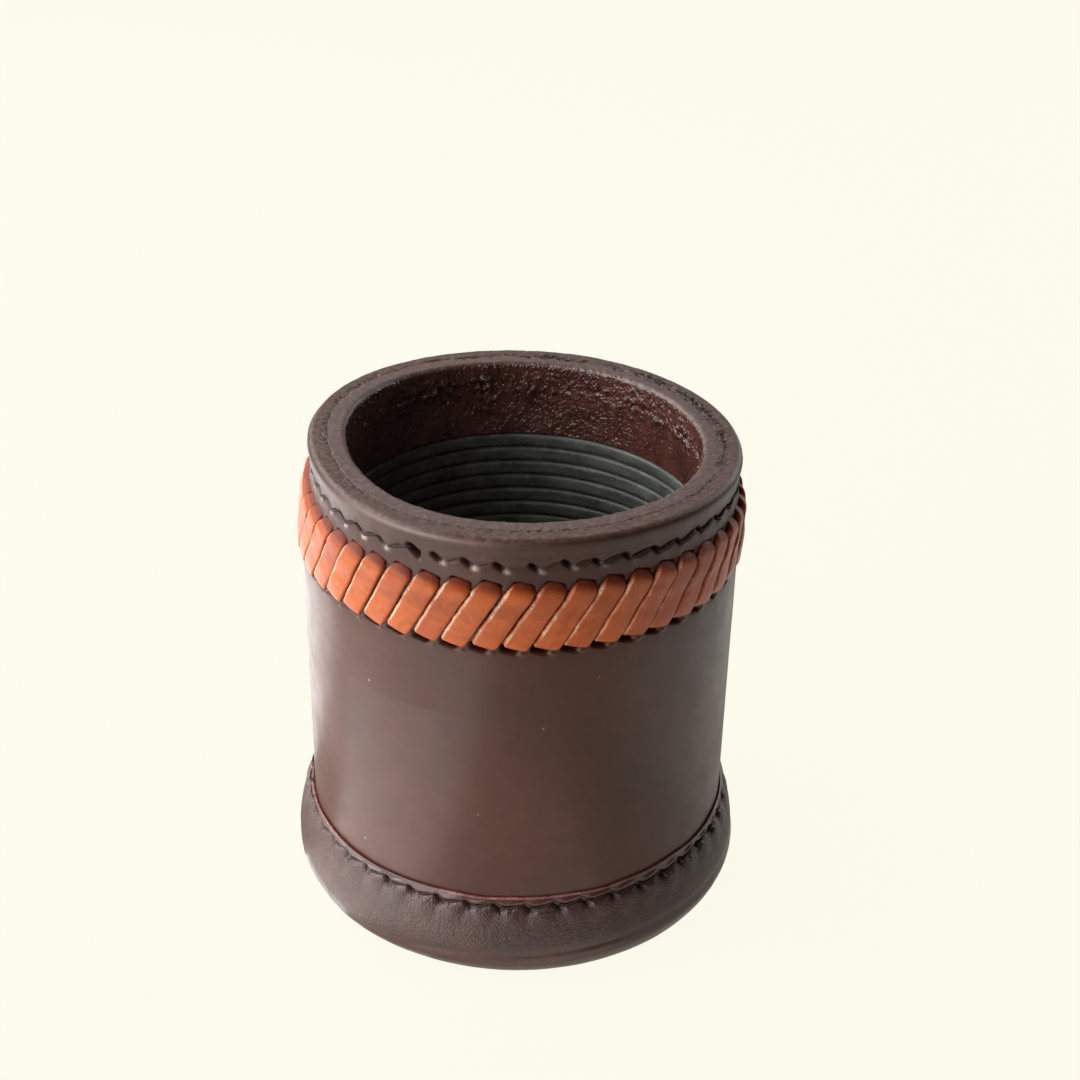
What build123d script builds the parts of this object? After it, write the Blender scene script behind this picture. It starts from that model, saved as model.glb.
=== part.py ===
from build123d import *
from math import atan2, cos, degrees, hypot, radians, sin, sqrt
import os

# Leather desk cup: a stiff leather tube with a laced-on collar, a ribbed rubber lining and a padded foot.
# Millimetres. +Z is up, the front is -Y, and the origin is the centre of the underside, on the surface
# that the cup stands on.

os.makedirs("parts", exist_ok=True)

# --- Driving dimensions ----------------------------------------------------------------------------------
TOTAL_HEIGHT = 101.3
WALL_RADIUS = 44.0  # outside of the stiff body leather
LAYER_RADIUS = 40.7  # glue line between the outer leathers and the linings
GLUE_GAP = 0.05  # clearance left for glue between two faces
RIM_BORE_RADIUS = 36.8  # inside of the rim lining
COLLAR_RADIUS = 44.5
BUTT_HEIGHT = 87.0  # where the collar stands on the body wall, behind the lace
BUTT_GAP = 0.2
LINING_BOTTOM = 83.1  # lower edge of the rim lining, just above the rubber
RIM_ROUND = 1.2  # rounding of the rim's outer and inner edges
EDGE_ROUND = 0.4

# Rubber lining
LINER_TOP = 83.0
RIB_PITCH = 3.4
RIB_COUNT = 22
RIB_CREST_RADIUS = 36.4
RIB_ROOT_RADIUS = 37.3

# Base
SOLE_THICKNESS = 0.8
SOLE_RADIUS = 38.5
BOARD_THICKNESS = 4.0
BOARD_CHAMFER = 1.6
PAD_THICKNESS = 3.0
PAD_RADIUS = 36.3

# Foot cover: soft leather, stitched round the body at its top and turned under the base
COVER_THICKNESS = 1.2
COVER_TOP = 21.2
COVER_STRAIGHT_BOTTOM = 18.0  # below this the cover swells outwards
FOOT_RADIUS = 47.45
FOOT_CORNER = 7.0  # radius of the foot's lower outer edge
TURN_IN_RADIUS = 31.0  # inner edge of the turned-under margin
WALL_BOTTOM = 4.2

# Lacing
LACE_COUNT = 49
LACE_WIDTH = 4.6
LACE_END_WIDTH = 3.6
LACE_THICKNESS = 1.2
LACE_TAPER = 2.2  # length of the narrowing at each end of a strip
LACE_LOW = 80.1  # height of the lower and upper lace holes
LACE_HIGH = 92.2
LACE_SWEEP = 9.4  # degrees that a strip leans round the cup from its lower to its upper hole
LACE_PHASE = -3.25  # degrees from the front to the middle of the first strip
LACE_SLOT = (3.0, 1.2)
LACE_LEG = (2.8, 1.0)

# Stitching: one row round the rim and one round the top of the foot
STITCH_COUNT = 47
THREAD_RADIUS = 0.4
AWL_RADIUS = 0.5
THREAD_RUN = 0.78 * 360 / STITCH_COUNT  # degrees of each stitch that lie on the surface
COLLAR_STITCH_HEIGHT = 96.0
COLLAR_STITCH_PHASE = -4.1  # degrees from the front to the first hole
FOOT_STITCH_HEIGHT = 18.7
FOOT_STITCH_RISE = 1.0
FOOT_STITCH_PHASE = -4.0
FOOT_STITCH_DEPTH = 42.2  # radius at which the foot stitches end inside the body leather

# --- Worked out from the dimensions above ----------------------------------------------------------------
board_bottom = SOLE_THICKNESS + COVER_THICKNESS
pad_bottom = board_bottom + BOARD_THICKNESS
cover_bore = WALL_RADIUS + GLUE_GAP
cover_top_radius = cover_bore + COVER_THICKNESS
swell_height = SOLE_THICKNESS + FOOT_CORNER  # height of the foot's widest ring
swell_out = FOOT_RADIUS - cover_top_radius
swell_rise = COVER_STRAIGHT_BOTTOM - swell_height
swell_arc = (swell_out**2 + swell_rise**2) / (2 * swell_out)
swell_centre = (FOOT_RADIUS - swell_arc, swell_height)
corner_centre = (FOOT_RADIUS - FOOT_CORNER, swell_height)
lace_bore = COLLAR_RADIUS + GLUE_GAP
lace_radius = lace_bore + LACE_THICKNESS
lace_lean = (lace_bore + LACE_THICKNESS / 2) * radians(LACE_SWEEP)
lace_rise = LACE_HIGH - LACE_LOW
lace_length = hypot(lace_lean, lace_rise)
lace_slant = degrees(atan2(lace_lean, lace_rise))  # away from upright, top to the right


def round_the_cup(degrees, radius, height):
    """The point at this angle from the front, towards +X."""
    return (radius * sin(radians(degrees)), -radius * cos(radians(degrees)), height)


def arc_point(centre, radius, degrees):
    """A point of an arc in the section plane, with 0 degrees outwards and 90 upwards."""
    return (centre[0] + radius * cos(radians(degrees)), centre[1] + radius * sin(radians(degrees)))


def height_on_arc(centre, radius, across):
    """How far above or below the arc's centre it passes the given radius of the cup."""
    return sqrt(radius**2 - (across - centre[0]) ** 2)


def finish_piece(builder, name):
    """Label a finished piece and write its file."""
    builder.part.label = name
    export_step(builder.part, "parts/" + name + ".step")
    print(f"{name}: {len(builder.part.solids())} solids, {builder.part.volume:.0f} mm3")


# --- Punches: the shapes of the lace slots and of the awl holes, made once at the front -------------------
with BuildPart() as lace_punch:
    with BuildSketch(Plane.XZ.offset(LAYER_RADIUS - 3)):
        with Locations((-lace_lean / 2, LACE_LOW), (lace_lean / 2, LACE_HIGH)):
            Rectangle(*LACE_SLOT)
    extrude(amount=lace_radius)

with BuildPart() as collar_awl:
    with BuildSketch(Plane.XZ.offset(RIM_BORE_RADIUS - 3)):
        with Locations((0, COLLAR_STITCH_HEIGHT)):
            Circle(AWL_RADIUS)
    extrude(amount=lace_radius - RIM_BORE_RADIUS + 6)

with BuildPart() as foot_awl:
    with BuildSketch(Plane.XZ.offset(FOOT_STITCH_DEPTH - THREAD_RADIUS)):
        with Locations((0, FOOT_STITCH_HEIGHT)):
            Circle(AWL_RADIUS)
    extrude(amount=FOOT_RADIUS - FOOT_STITCH_DEPTH)

# --- Body wall: the stiff leather tube --------------------------------------------------------------------
with BuildPart() as body_wall:
    with BuildSketch(Plane.XY.offset(WALL_BOTTOM)):
        Circle(WALL_RADIUS)
        Circle(LAYER_RADIUS, mode=Mode.SUBTRACT)
    extrude(amount=BUTT_HEIGHT - BUTT_GAP / 2 - WALL_BOTTOM)
    chamfer(body_wall.edges().group_by(Axis.Z)[-1].sort_by(SortBy.LENGTH)[-1], length=EDGE_ROUND)
    with PolarLocations(0, LACE_COUNT, start_angle=LACE_PHASE):
        add(lace_punch.part, mode=Mode.SUBTRACT)
    with PolarLocations(0, STITCH_COUNT, start_angle=FOOT_STITCH_PHASE):
        add(foot_awl.part, mode=Mode.SUBTRACT)
finish_piece(body_wall, "body_wall")

# --- Collar band: the outer leather of the rim, laced to the body wall ------------------------------------
collar_bottom = BUTT_HEIGHT + BUTT_GAP / 2
with BuildPart() as collar_band:
    with BuildSketch(Plane.XY.offset(collar_bottom)):
        Circle(COLLAR_RADIUS)
        Circle(LAYER_RADIUS, mode=Mode.SUBTRACT)
    extrude(amount=TOTAL_HEIGHT - collar_bottom)
    fillet(collar_band.edges().group_by(Axis.Z)[-1].sort_by(SortBy.LENGTH)[-1], radius=RIM_ROUND)
    with PolarLocations(0, LACE_COUNT, start_angle=LACE_PHASE):
        add(lace_punch.part, mode=Mode.SUBTRACT)
    with PolarLocations(0, STITCH_COUNT, start_angle=COLLAR_STITCH_PHASE):
        add(collar_awl.part, mode=Mode.SUBTRACT)
finish_piece(collar_band, "collar_band")

# --- Rim lining: the inner leather of the rim -------------------------------------------------------------
with BuildPart() as rim_lining:
    with BuildSketch(Plane.XY.offset(LINING_BOTTOM)):
        Circle(LAYER_RADIUS - GLUE_GAP)
        Circle(RIM_BORE_RADIUS, mode=Mode.SUBTRACT)
    extrude(amount=TOTAL_HEIGHT - LINING_BOTTOM)
    fillet(rim_lining.edges().group_by(Axis.Z)[-1].sort_by(SortBy.LENGTH)[0], radius=RIM_ROUND)
    with PolarLocations(0, STITCH_COUNT, start_angle=COLLAR_STITCH_PHASE):
        add(collar_awl.part, mode=Mode.SUBTRACT)
finish_piece(rim_lining, "rim_lining")

# --- Ribbed liner: rubber tube with a rounded rib at every pitch ------------------------------------------
with BuildPart() as ribbed_liner:
    with BuildSketch(Plane.XZ):
        with BuildLine():
            for rib in range(RIB_COUNT):
                rib_top = LINER_TOP - rib * RIB_PITCH
                ThreePointArc(
                    (RIB_ROOT_RADIUS, rib_top),
                    (RIB_CREST_RADIUS, rib_top - RIB_PITCH / 2),
                    (RIB_ROOT_RADIUS, rib_top - RIB_PITCH),
                )
            Polyline(
                (RIB_ROOT_RADIUS, LINER_TOP - RIB_COUNT * RIB_PITCH),
                (RIB_ROOT_RADIUS, pad_bottom),
                (LAYER_RADIUS - GLUE_GAP, pad_bottom),
                (LAYER_RADIUS - GLUE_GAP, LINER_TOP),
                (RIB_ROOT_RADIUS, LINER_TOP),
            )
        make_face()
    revolve(axis=Axis.Z)
finish_piece(ribbed_liner, "ribbed_liner")

# --- Floor pad: ribbed rubber disc at the bottom of the inside --------------------------------------------
pad_ribs = 2 * int(PAD_RADIUS / RIB_PITCH) + 1
with BuildPart() as floor_pad:
    with BuildSketch(Plane.XY.offset(pad_bottom)):
        Circle(PAD_RADIUS)
    extrude(amount=PAD_THICKNESS)
    with BuildSketch(Plane.XZ.offset(-PAD_RADIUS)):
        with Locations((0, pad_bottom + PAD_THICKNESS)):
            with GridLocations(RIB_PITCH, 0, pad_ribs + 1, 1):
                Rectangle(0.7, 1.4)
    extrude(amount=2 * PAD_RADIUS, mode=Mode.SUBTRACT)
finish_piece(floor_pad, "floor_pad")

# --- Base board: the stiff disc that closes the tube ------------------------------------------------------
with BuildPart() as base_board:
    with BuildSketch(Plane.XY.offset(board_bottom)):
        Circle(LAYER_RADIUS - GLUE_GAP)
    extrude(amount=BOARD_THICKNESS)
    chamfer(base_board.edges().group_by(Axis.Z)[0], length=BOARD_CHAMFER)
finish_piece(base_board, "base_board")

# --- Foot cover: soft leather with a swelling side, turned under the base ---------------------------------
lining_arc = swell_arc - COVER_THICKNESS
lining_corner = FOOT_CORNER - COVER_THICKNESS
lining_start = swell_height + height_on_arc(swell_centre, lining_arc, cover_bore)
swell_angle = degrees(swell_rise / swell_arc) / 2
with BuildPart() as foot_cover:
    with BuildSketch(Plane.XZ):
        with BuildLine():
            Line((cover_top_radius, COVER_TOP), (cover_top_radius, COVER_STRAIGHT_BOTTOM))
            ThreePointArc(
                (cover_top_radius, COVER_STRAIGHT_BOTTOM),
                arc_point(swell_centre, swell_arc, swell_angle),
                (FOOT_RADIUS, swell_height),
            )
            ThreePointArc(
                (FOOT_RADIUS, swell_height),
                arc_point(corner_centre, FOOT_CORNER, -45),
                (corner_centre[0], SOLE_THICKNESS),
            )
            Polyline(
                (corner_centre[0], SOLE_THICKNESS),
                (TURN_IN_RADIUS, SOLE_THICKNESS),
                (TURN_IN_RADIUS, board_bottom),
                (corner_centre[0], board_bottom),
            )
            ThreePointArc(
                (corner_centre[0], board_bottom),
                arc_point(corner_centre, lining_corner, -45),
                (FOOT_RADIUS - COVER_THICKNESS, swell_height),
            )
            ThreePointArc(
                (FOOT_RADIUS - COVER_THICKNESS, swell_height),
                arc_point(swell_centre, lining_arc, swell_angle),
                (cover_bore, lining_start),
            )
            Polyline((cover_bore, lining_start), (cover_bore, COVER_TOP), (cover_top_radius, COVER_TOP))
        make_face()
    revolve(axis=Axis.Z)
    with PolarLocations(0, STITCH_COUNT, start_angle=FOOT_STITCH_PHASE):
        add(foot_awl.part, mode=Mode.SUBTRACT)
finish_piece(foot_cover, "foot_cover")

# --- Foot packing: the soft ring that fills the swelling between wall and cover ---------------------------
packing_arc = lining_arc - GLUE_GAP
packing_corner = lining_corner - GLUE_GAP
packing_top = swell_height + height_on_arc(swell_centre, packing_arc, cover_bore)
packing_bottom = swell_height - height_on_arc(corner_centre, packing_corner, cover_bore)
packing_radius = FOOT_RADIUS - COVER_THICKNESS - GLUE_GAP
with BuildPart() as foot_packing:
    with BuildSketch(Plane.XZ):
        with BuildLine():
            ThreePointArc(
                (cover_bore, packing_top),
                arc_point(swell_centre, packing_arc, swell_angle),
                (packing_radius, swell_height),
            )
            ThreePointArc(
                (packing_radius, swell_height),
                arc_point(corner_centre, packing_corner, -20),
                (cover_bore, packing_bottom),
            )
            Line((cover_bore, packing_bottom), (cover_bore, packing_top))
        make_face()
    revolve(axis=Axis.Z)
finish_piece(foot_packing, "foot_packing")

# --- Sole: the disc glued over the turned-under margin ----------------------------------------------------
with BuildPart() as sole_disc:
    with BuildSketch(Plane.XY):
        Circle(SOLE_RADIUS)
    extrude(amount=SOLE_THICKNESS)
    fillet(sole_disc.edges().group_by(Axis.Z)[0], radius=EDGE_ROUND)
finish_piece(sole_disc, "sole_disc")

# --- Lace: a flat strip from each lower hole to the upper hole that lies further round ---------------------
shoulder = lace_length / 2 - LACE_TAPER
strip_tip = lace_length / 2 + LACE_SLOT[1] / 2
strip_right_side = [
    (LACE_END_WIDTH / 2, -strip_tip),
    (LACE_WIDTH / 2, -shoulder),
    (LACE_WIDTH / 2, shoulder),
    (LACE_END_WIDTH / 2, strip_tip),
]
strip_left_side = [(-across, -along) for across, along in strip_right_side]
with BuildPart() as lace_strip:
    with BuildSketch(Plane.XZ.offset(LAYER_RADIUS)):
        with Locations(Location((0, (LACE_LOW + LACE_HIGH) / 2), -lace_slant)):
            Polygon(*strip_right_side, *strip_left_side)
    extrude(amount=lace_radius - LAYER_RADIUS + 1)
    Cylinder(lace_radius, 2 * TOTAL_HEIGHT, mode=Mode.INTERSECT)
    Cylinder(lace_bore, 2 * TOTAL_HEIGHT, mode=Mode.SUBTRACT)
    with BuildSketch(Plane.XZ.offset(LAYER_RADIUS + GLUE_GAP)):
        with Locations((-lace_lean / 2, LACE_LOW), (lace_lean / 2, LACE_HIGH)):
            Rectangle(*LACE_LEG)
    extrude(amount=lace_bore + LACE_THICKNESS / 4 - LAYER_RADIUS - GLUE_GAP)

with BuildPart() as lace:
    with PolarLocations(0, LACE_COUNT, start_angle=LACE_PHASE):
        add(lace_strip.part)
finish_piece(lace, "lace")

# --- Collar thread: each stitch goes through both leathers of the rim -------------------------------------
thread_outside = COLLAR_RADIUS + THREAD_RADIUS + 2 * GLUE_GAP
thread_inside = RIM_BORE_RADIUS - THREAD_RADIUS - 2 * GLUE_GAP
with BuildPart() as collar_stitch:
    with BuildLine() as collar_route:
        Polyline(
            round_the_cup(-THREAD_RUN, thread_inside, COLLAR_STITCH_HEIGHT),
            round_the_cup(0, thread_inside, COLLAR_STITCH_HEIGHT),
            round_the_cup(0, thread_outside, COLLAR_STITCH_HEIGHT),
            round_the_cup(THREAD_RUN, thread_outside, COLLAR_STITCH_HEIGHT),
        )
    with BuildSketch(collar_route.line ^ 0):
        Circle(THREAD_RADIUS)
    sweep(path=collar_route.line, transition=Transition.RIGHT)

with BuildPart() as collar_thread:
    with PolarLocations(0, STITCH_COUNT, start_angle=COLLAR_STITCH_PHASE):
        add(collar_stitch.part)
finish_piece(collar_thread, "collar_thread")

# --- Foot thread: slanting stitches that hold the top of the foot cover to the wall -----------------------
foot_thread_outside = cover_top_radius + THREAD_RADIUS + 2 * GLUE_GAP
with BuildPart() as foot_stitch:
    with BuildLine() as foot_route:
        Polyline(
            round_the_cup(0, FOOT_STITCH_DEPTH, FOOT_STITCH_HEIGHT),
            round_the_cup(0, foot_thread_outside, FOOT_STITCH_HEIGHT),
            round_the_cup(THREAD_RUN, foot_thread_outside, FOOT_STITCH_HEIGHT + FOOT_STITCH_RISE),
        )
    with BuildSketch(foot_route.line ^ 0):
        Circle(THREAD_RADIUS)
    sweep(path=foot_route.line, transition=Transition.RIGHT)

with BuildPart() as foot_thread:
    with PolarLocations(0, STITCH_COUNT, start_angle=FOOT_STITCH_PHASE):
        add(foot_stitch.part)
finish_piece(foot_thread, "foot_thread")
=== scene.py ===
from math import cos, hypot, pi, radians, sin

import bpy
import numpy as np
from mathutils import Matrix, Vector


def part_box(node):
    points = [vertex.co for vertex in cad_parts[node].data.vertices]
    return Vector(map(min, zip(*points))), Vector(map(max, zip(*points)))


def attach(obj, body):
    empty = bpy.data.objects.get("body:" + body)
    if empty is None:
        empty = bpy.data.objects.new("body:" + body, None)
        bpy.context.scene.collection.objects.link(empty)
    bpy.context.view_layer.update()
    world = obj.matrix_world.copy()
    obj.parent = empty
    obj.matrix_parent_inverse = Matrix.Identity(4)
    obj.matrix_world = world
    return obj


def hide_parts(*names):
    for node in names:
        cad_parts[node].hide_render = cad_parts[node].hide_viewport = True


# The looks of a leather desk cup, built around its CAD frame. Sizes are in millimetres until a mesh is made.
# A place on the cup is (turn, radius, height): turn is the angle in radians from the front, -Y, towards +X.

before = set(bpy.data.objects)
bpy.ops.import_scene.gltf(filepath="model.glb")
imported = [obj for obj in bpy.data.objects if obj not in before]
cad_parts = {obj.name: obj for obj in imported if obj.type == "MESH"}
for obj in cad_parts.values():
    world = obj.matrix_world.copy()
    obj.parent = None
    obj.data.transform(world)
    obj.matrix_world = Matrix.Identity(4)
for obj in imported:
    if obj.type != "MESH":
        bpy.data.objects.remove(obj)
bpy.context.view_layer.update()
MM = 0.001
FULL_TURN = 2 * pi


def reach(node):
    """Outer radius, bottom and top of a round CAD node, in millimetres."""
    low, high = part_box(node)
    return high.x / MM, low.z / MM, high.z / MM


# --- Sizes ---
wall_radius, wall_bottom, wall_top = reach("body_wall")
collar_radius, collar_bottom, rim_top = reach("collar_band")
layer_radius, lining_bottom, _ = reach("rim_lining")
_, liner_bottom, liner_top = reach("ribbed_liner")
pad_radius, pad_bottom, pad_top = reach("floor_pad")
foot_radius, cover_bottom, cover_top = reach("foot_cover")
sole_radius, _, sole_top = reach("sole_disc")
_, cover_floor, _ = reach("base_board")
lace_radius, _, _ = reach("lace")

RIM_BORE = 36.8
RIM_ROUND = 1.2
RIM_EDGE = 0.12
LAYER_GAP = 0.05
RIB_CREST = 36.4
RIB_ROOT = 37.3
RIB_PITCH = 3.4
COVER_THICKNESS = 1.2
COVER_STRAIGHT_BOTTOM = 18.0
FOOT_CORNER = 7.0
TURN_IN_RADIUS = 31.0
SKIVED_EDGE = 0.5

LACE_COUNT = 49
LACE_SWEEP = 9.4
LACE_PHASE = -3.25
LACE_LOW = 80.1
LACE_HIGH = 92.2
LOWER_WIDTH = 4.95
UPPER_WIDTH = 4.8
LACE_SKEW = 0.23
LACE_THICKNESS = 1.1

STITCH_COUNT = 47
RIM_STITCH_HEIGHT = 96.0
RIM_STITCH_PHASE = -4.1
FOOT_STITCH_HEIGHT = 18.7
FOOT_STITCH_PHASE = -4.0
FOOT_SLIT = (1.25, 0.6)
THREAD_RADIUS = 0.3


# --- Small maths ---
def held(value):
    """The value, held between 0 and 1."""
    return np.clip(value, 0, 1)


def smooth(low, high, value):
    """0 below low, 1 above high, and a soft step between them. Works downwards when low is above high."""
    t = held((value - low) / (high - low))
    return t * t * (3 - 2 * t)


def hump(offset, width):
    """A bell of height 1."""
    return np.exp(-((offset / width) ** 2))


def turn_from(turn, where):
    """The angle from a place in degrees, the short way round."""
    return np.angle(np.exp(1j * (turn - radians(where))))


def noise(turn, along, size, seed, squash=1.0):
    """Smooth noise from -1 to 1 in cells of this size, without a break round the cup.
    squash makes the cells this many times longer along than round."""
    around = max(3, round(FULL_TURN * wall_radius / size))
    table = np.random.default_rng(seed).uniform(-1, 1, (512, around))
    x = np.mod(turn / FULL_TURN, 1.0) * around
    y = np.clip(along / (size * squash) + 200, 0, 510)
    x, y = np.broadcast_arrays(x, y)
    column, row = np.floor(x).astype(int), np.floor(y).astype(int)
    fx, fy = x - column, y - row
    fx, fy = fx * fx * (3 - 2 * fx), fy * fy * (3 - 2 * fy)
    left, right = column % around, (column + 1) % around
    below = table[row, left] * (1 - fx) + table[row, right] * fx
    above = table[row + 1, left] * (1 - fx) + table[row + 1, right] * fx
    return below * (1 - fy) + above * fy


def noise_round(turn, size, seed):
    """Noise round the cup, the same at every height."""
    return noise(turn, 0, size, seed)


def layered(turn, along, size, seed, layers=3, squash=1.0):
    """Noise with finer noise on it."""
    total = 0.0
    for layer in range(layers):
        total = total + noise(turn, along, size / 2**layer, seed + layer, squash) / 2**layer
    return total / (2 - 0.5 ** (layers - 1))


def creases(turn, along, size, seed, squash=1.0):
    """0 to 1, with narrow peaks along wandering lines."""
    return held(1 - np.abs(layered(turn, along, size, seed, 2, squash)) * 4) ** 2


# --- The cup isn't quite round: its rim is pressed into an oval and sits a little askew ---
OVAL_START, OVAL_END = 79.0, 95.0
OVAL = 0.041
RISE_IN_FRONT, RISE_AT_LEFT = 2.45, 0.6
SHIFT_RIGHT = 0.21


def pared(turn, height):
    """How much thinner the collar leather is at the back left and the back right."""
    left = hump(turn_from(turn, -125), radians(24))
    right = hump(turn_from(turn, 142), radians(16))
    return (1.15 * left + 0.5 * right) * smooth(90, 96, height)


def out_of_round(turn, radius, height):
    """The place that a point of the round cup takes in the handmade one, in metres."""
    share = smooth(OVAL_START, OVAL_END, height)
    polar = turn - OVAL / 2 * share * np.sin(2 * turn)
    swell = 0.0
    for waves, along, across in ((2, OVAL, 0.008), (3, 0.0066, -0.0055), (4, -0.0033, -0.0076)):
        swell = swell + along * np.cos(waves * polar) + across * np.sin(waves * polar)
    out = radius * (1 + share * swell)
    lean = (RISE_IN_FRONT * np.cos(turn) - RISE_AT_LEFT * np.sin(turn)) * radius / collar_radius
    x = out * np.sin(polar) + SHIFT_RIGHT * share
    y = -out * np.cos(polar)
    z = height + share * lean
    return np.stack(np.broadcast_arrays(x, y, z), -1) * MM


# --- Meshes ---
def mesh_piece(name, points, faces, marks, material):
    """A smooth mesh object at the origin, with a value per point for each mark."""
    mesh = bpy.data.meshes.new(name)
    mesh.from_pydata(points.reshape(-1, 3).tolist(), [], faces)
    for mark, values in marks.items():
        layer = mesh.attributes.new(mark, "FLOAT", "POINT")
        layer.data.foreach_set("value", np.ascontiguousarray(values, np.float32).ravel())
    mesh.materials.append(material)
    mesh.update()
    mesh.shade_smooth()
    piece = bpy.data.objects.new(name, mesh)
    bpy.context.scene.collection.objects.link(piece)
    return piece


def grid_faces(rows, columns, wrap_rows, first=0):
    """Quads over a grid of points whose columns go all the way round."""
    last = rows if wrap_rows else rows - 1
    i, j = np.meshgrid(np.arange(last), np.arange(columns), indexing="ij")
    up, on = (i + 1) % rows, (j + 1) % columns
    quads = np.stack([i * columns + j, i * columns + on, up * columns + on, up * columns + j], -1)
    return (quads.reshape(-1, 4) + first).tolist()


def line(start, end, step):
    """Evenly spaced points from start up to, but not including, end."""
    across, up = end[0] - start[0], end[1] - start[1]
    count = max(1, round(hypot(across, up) / step))
    return [(start[0] + across * k / count, start[1] + up * k / count) for k in range(count)]


def lines(start, *runs):
    """Joined lines: each run is the radius and height that it goes to, and its step."""
    points = []
    for radius, height, step in runs:
        points += line(start, (radius, height), step)
        start = (radius, height)
    return points


def arc(centre, radius, first, last, count):
    """Points of an arc, without the last one. 0 degrees is outwards and 90 is up."""
    angles = [radians(first + (last - first) * k / count) for k in range(count)]
    return [(centre[0] + radius * cos(a), centre[1] + radius * sin(a)) for a in angles]


def outline_normals(outline):
    """Outward normals of a closed outline that goes up on the cup's outer side."""
    ahead, behind = np.roll(outline, -1, 0), np.roll(outline, 1, 0)
    along = ahead - behind
    along /= np.maximum(np.hypot(along[:, 0], along[:, 1]), 1e-9)[:, None]
    return along[:, 1], -along[:, 0]


def ring(name, outline, columns, relief, material, drift=None):
    """A closed ring of the (radius, height) outline swept round the cup.
    relief gives how far each point moves out of the surface and the marks; drift shifts radius and height."""
    outline = np.array(outline)
    out, up = outline_normals(outline)
    turn = np.arange(columns)[None, :] * FULL_TURN / columns
    radius, height = outline[:, :1], outline[:, 1:]
    lift, marks = relief(turn, radius, height, out[:, None], up[:, None])
    new_radius = radius + lift * out[:, None]
    new_height = height + lift * up[:, None]
    if drift is not None:
        shift = drift(turn, radius, height)
        new_radius, new_height = new_radius + shift[0], new_height + shift[1]
    points = out_of_round(turn, new_radius, new_height)
    shape = points.shape[:2]
    marks = {mark: np.broadcast_to(values, shape) for mark, values in marks.items()}
    return mesh_piece(name, points, grid_faces(*shape, wrap_rows=True), marks, material)


def cord_points(route):
    """Points round a route of (turn, radius, height) rows: a thread of two twisted plies."""
    sides, plies, twist = 10, 2, 3.2
    path = out_of_round(route[:, 0], route[:, 1], route[:, 2])
    along = np.gradient(path, axis=0)
    along /= np.linalg.norm(along, axis=1)[:, None]
    away = path * [1, 1, 0]
    away /= np.linalg.norm(away, axis=1)[:, None]
    side = np.cross(along, away)
    side /= np.linalg.norm(side, axis=1)[:, None]
    away = np.cross(side, along)
    length = np.concatenate([[0], np.cumsum(np.linalg.norm(np.diff(path, axis=0), axis=1))]) / MM
    angle = np.arange(sides)[None, :] * FULL_TURN / sides
    ply = np.abs(np.cos(plies / 2 * (angle - length[:, None] * twist)))
    reach_out = THREAD_RADIUS * (0.8 + 0.24 * ply) * MM
    spread = side[:, None, :] * (reach_out * np.cos(angle))[..., None]
    rise = away[:, None, :] * (reach_out * np.sin(angle))[..., None]
    return path[:, None, :] + spread + rise


def tubes_piece(name, tubes, marks, material):
    """One mesh of many tubes with closed ends, each a grid of rows and columns of points."""
    faces, first = [], 0
    for tube in tubes:
        rows, columns = tube.shape[:2]
        start = range(first, first + columns)
        first += rows * columns
        end = range(first - columns, first)
        faces += grid_faces(rows, columns, False, start[0]) + [list(reversed(start)), list(end)]
    points = np.concatenate([tube.reshape(-1, 3) for tube in tubes])
    return mesh_piece(name, points, faces, marks, material)


def curve_through(knots, count):
    """Evenly spread points of a smooth curve through the knots."""
    knots = np.array(knots, float)
    padded = np.vstack([2 * knots[0] - knots[1], knots, 2 * knots[-1] - knots[-2]])
    t = np.linspace(0, len(knots) - 1 - 1e-9, count)
    i = t.astype(int)
    f = (t - i)[:, None]
    a, b, c, d = padded[i], padded[i + 1], padded[i + 2], padded[i + 3]
    return 0.5 * (2 * b + (c - a) * f + (2 * a - 5 * b + 4 * c - d) * f**2 + (3 * b - a - 3 * c + d) * f**3)


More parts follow.
